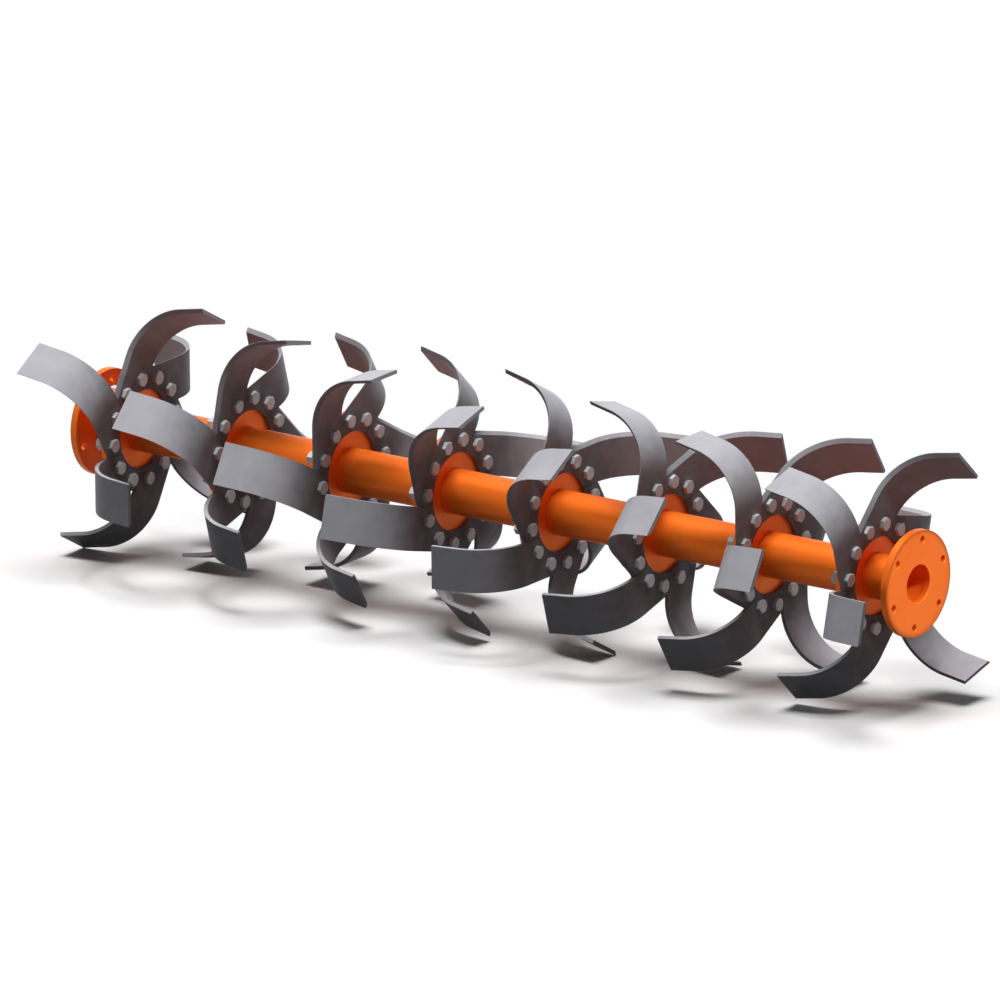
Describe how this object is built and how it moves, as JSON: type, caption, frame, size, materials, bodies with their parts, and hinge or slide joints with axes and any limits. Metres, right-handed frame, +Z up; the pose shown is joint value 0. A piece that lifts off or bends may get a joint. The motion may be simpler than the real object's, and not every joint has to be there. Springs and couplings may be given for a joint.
{
  "type": "rotary tiller rotor",
  "caption": "Tined rotor of a rotary tiller: a flanged tube carries a spiral of round plates, each with bolted strip tines bent right and left by turns to break up soil.",
  "frame": {"origin": "middle of the drive end flange's outer face, on the rotor's axis", "axes": "+X along the rotor towards the bearing end, +Z up"},
  "size_m": [2.0275, 0.522, 0.522],
  "materials": {
    "paint": "gloss orange paint",
    "tine_steel": "bare rolled spring steel",
    "bolt_steel": "zinc plated"
  },
  "bodies": {
    "root": {"shaft_tube": "paint", "drive_end_flange": "paint", "bearing_end_flange": "paint", "tine_flange_1": "paint", "tine_flange_2": "paint", "tine_flange_3": "paint", "tine_flange_4": "paint", "tine_flange_5": "paint", "tine_flange_6": "paint", "tine_flange_7": "paint", "tine_flange_8": "paint", "right_tines_1": "tine_steel", "right_tines_2": "tine_steel", "right_tines_3": "tine_steel", "right_tines_4": "tine_steel", "right_tines_5": "tine_steel", "right_tines_6": "tine_steel", "right_tines_7": "tine_steel", "right_tines_8": "tine_steel", "left_tines_1": "tine_steel", "left_tines_2": "tine_steel", "left_tines_3": "tine_steel", "left_tines_4": "tine_steel", "left_tines_5": "tine_steel", "left_tines_6": "tine_steel", "left_tines_7": "tine_steel", "left_tines_8": "tine_steel", "tine_bolts_1": "bolt_steel", "tine_bolts_2": "bolt_steel", "tine_bolts_3": "bolt_steel", "tine_bolts_4": "bolt_steel", "tine_bolts_5": "bolt_steel", "tine_bolts_6": "bolt_steel", "tine_bolts_7": "bolt_steel", "tine_bolts_8": "bolt_steel", "tine_nuts_1": "bolt_steel", "tine_nuts_2": "bolt_steel", "tine_nuts_3": "bolt_steel", "tine_nuts_4": "bolt_steel", "tine_nuts_5": "bolt_steel", "tine_nuts_6": "bolt_steel", "tine_nuts_7": "bolt_steel", "tine_nuts_8": "bolt_steel"}
  },
  "joints": []
}
